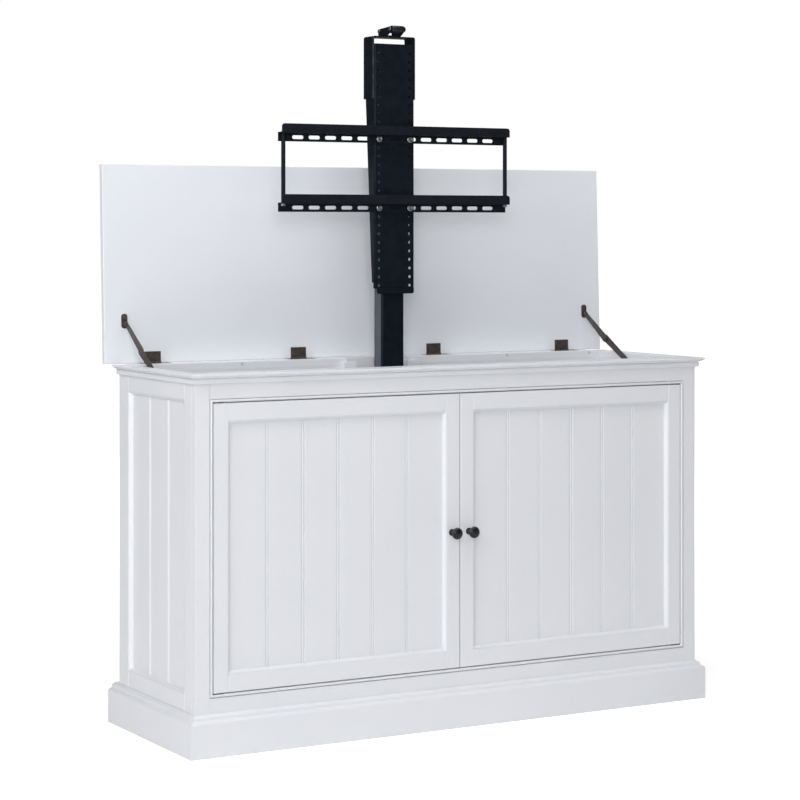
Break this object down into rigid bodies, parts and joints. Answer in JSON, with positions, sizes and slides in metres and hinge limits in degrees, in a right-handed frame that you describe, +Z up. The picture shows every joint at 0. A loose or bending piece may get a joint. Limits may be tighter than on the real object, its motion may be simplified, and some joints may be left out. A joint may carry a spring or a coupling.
{
  "type": "tv lift cabinet",
  "caption": "White panelled cabinet with two doors and a flap lid, and a motor-driven column lift that raises slotted television rails out of the top.",
  "frame": {"origin": "on the floor under the middle of the plinth", "axes": "+X to the right seen from the doors, +Y to the back, +Z up; lift raised and lid open at rest"},
  "size_m": [1.506, 0.5527, 1.771],
  "materials": {
    "white_paint": "satin white paint on board",
    "black_powder_coat": "fine black powder coat",
    "zinc_plate": "bright zinc plate",
    "bright_steel": "turned steel",
    "bronzed_steel": "dark bronzed steel",
    "black_knob": "glossy black",
    "nylon": "natural nylon",
    "black_plastic": "matte black",
    "black_rubber": "matte rubber"
  },
  "bodies": {
    "cabinet": {"plinth_front": "white_paint", "plinth_left": "white_paint", "plinth_right": "white_paint", "plinth_back": "white_paint", "cornice_front": "white_paint", "cornice_left": "white_paint", "cornice_right": "white_paint", "side_frame_left": "white_paint", "side_frame_right": "white_paint", "side_panel_left": "white_paint", "side_panel_right": "white_paint", "face_frame": "white_paint", "opening_bead": "white_paint", "floor_panel": "white_paint", "back_panel": "white_paint", "lift_uprights": "white_paint", "top_front_rail": "white_paint", "top_side_rails": "white_paint", "top_back_rail": "white_paint", "hinge_rim_leaves": "bronzed_steel", "hinge_pins": "bronzed_steel", "door_pivots": "bronzed_steel", "stay_wall_plates": "bronzed_steel", "lift_base_plate": "black_powder_coat", "fixed_channel": "black_powder_coat", "lift_brackets": "black_powder_coat", "screw_bearing": "zinc_plate", "gear_motor": "black_plastic", "control_box": "black_plastic"},
    "lift_column": {"column_tube": "black_powder_coat", "drive_nut": "zinc_plate", "glide_pads": "nylon"},
    "lift_carriage": {"inner_tube": "black_powder_coat", "carriage_spacer": "black_powder_coat", "carriage_plate": "black_powder_coat", "head_bracket": "black_powder_coat", "roller_bracket": "black_powder_coat", "roller_axle": "zinc_plate", "upper_rail": "black_powder_coat", "lower_rail": "black_powder_coat", "rail_bolts": "zinc_plate", "side_rods": "black_powder_coat", "rod_bolts": "zinc_plate"},
    "roller": {"lid_roller": "black_rubber"},
    "screw": {"lead_screw": "bright_steel"},
    "lid": {"lid_panel": "white_paint", "hinge_lid_leaves": "bronzed_steel", "stay_lid_plates": "bronzed_steel"},
    "stay_upper_left": {"stay_upper_arm_left": "bronzed_steel"},
    "stay_upper_right": {"stay_upper_arm_right": "bronzed_steel"},
    "stay_lower_left": {"stay_lower_arm_left": "bronzed_steel"},
    "stay_lower_right": {"stay_lower_arm_right": "bronzed_steel"},
    "door_left": {"door_frame_left": "white_paint", "door_panel_left": "white_paint", "door_knob_left": "black_knob"},
    "door_right": {"door_frame_right": "white_paint", "door_panel_right": "white_paint", "door_knob_right": "black_knob"}
  },
  "joints": [
    {"name": "lift_slide", "type": "slide", "parent": "cabinet", "child": "lift_column", "axis": [0, 0, -1], "range_m": [0, 0.4572]},
    {"name": "carriage_slide", "type": "slide", "parent": "lift_column", "child": "lift_carriage", "axis": [0, 0, -1], "range_m": [0, 0.4572]},
    {"name": "roller_spin", "type": "hinge", "parent": "lift_carriage", "child": "roller", "pos_m": [0, 0.089, 1.762], "axis": [1, 0, 0], "continuous": true},
    {"name": "lead_screw_spin", "type": "hinge", "parent": "cabinet", "child": "screw", "pos_m": [0, 0.187, 0.4], "axis": [0, 0, 1], "continuous": true},
    {"name": "lid_hinge", "type": "hinge", "parent": "cabinet", "child": "lid", "pos_m": [0, 0.251, 0.9], "axis": [1, 0, 0], "range_deg": [0, 92.19]},
    {"name": "stay_upper_left_pivot", "type": "hinge", "parent": "lid", "child": "stay_upper_left", "pos_m": [-0.69745, 0.24385, 1.00085], "axis": [1, 0, 0], "range_deg": [0, 40]},
    {"name": "stay_lower_left_pivot", "type": "hinge", "parent": "cabinet", "child": "stay_lower_left", "pos_m": [-0.70035, 0.038, 0.874], "axis": [1, 0, 0], "range_deg": [-120, 0]},
    {"name": "stay_upper_right_pivot", "type": "hinge", "parent": "lid", "child": "stay_upper_right", "pos_m": [0.69745, 0.24385, 1.00085], "axis": [1, 0, 0], "range_deg": [0, 40]},
    {"name": "stay_lower_right_pivot", "type": "hinge", "parent": "cabinet", "child": "stay_lower_right", "pos_m": [0.70035, 0.038, 0.874], "axis": [1, 0, 0], "range_deg": [-120, 0]},
    {"name": "door_left_hinge", "type": "hinge", "parent": "cabinet", "child": "door_left", "pos_m": [-0.672, -0.225, 0.488], "axis": [0, 0, -1], "range_deg": [0, 95]},
    {"name": "door_right_hinge", "type": "hinge", "parent": "cabinet", "child": "door_right", "pos_m": [0.672, -0.225, 0.488], "axis": [0, 0, 1], "range_deg": [0, 95]}
  ],
  "couplings": [
    {"joint": "carriage_slide", "follows": "lift_slide", "ratio": 1},
    {"joint": "lead_screw_spin", "follows": "lift_slide", "rad_per_m": 314.16},
    {"joint": "lid_hinge", "follows": "lift_slide", "rad_per_m": 1.1452},
    {"joint": "stay_upper_left_pivot", "follows": "lift_slide", "rad_per_m": 0.4908},
    {"joint": "stay_lower_left_pivot", "follows": "lift_slide", "rad_per_m": -1.2548},
    {"joint": "stay_upper_right_pivot", "follows": "lift_slide", "rad_per_m": 0.4908},
    {"joint": "stay_lower_right_pivot", "follows": "lift_slide", "rad_per_m": -1.2548}
  ]
}
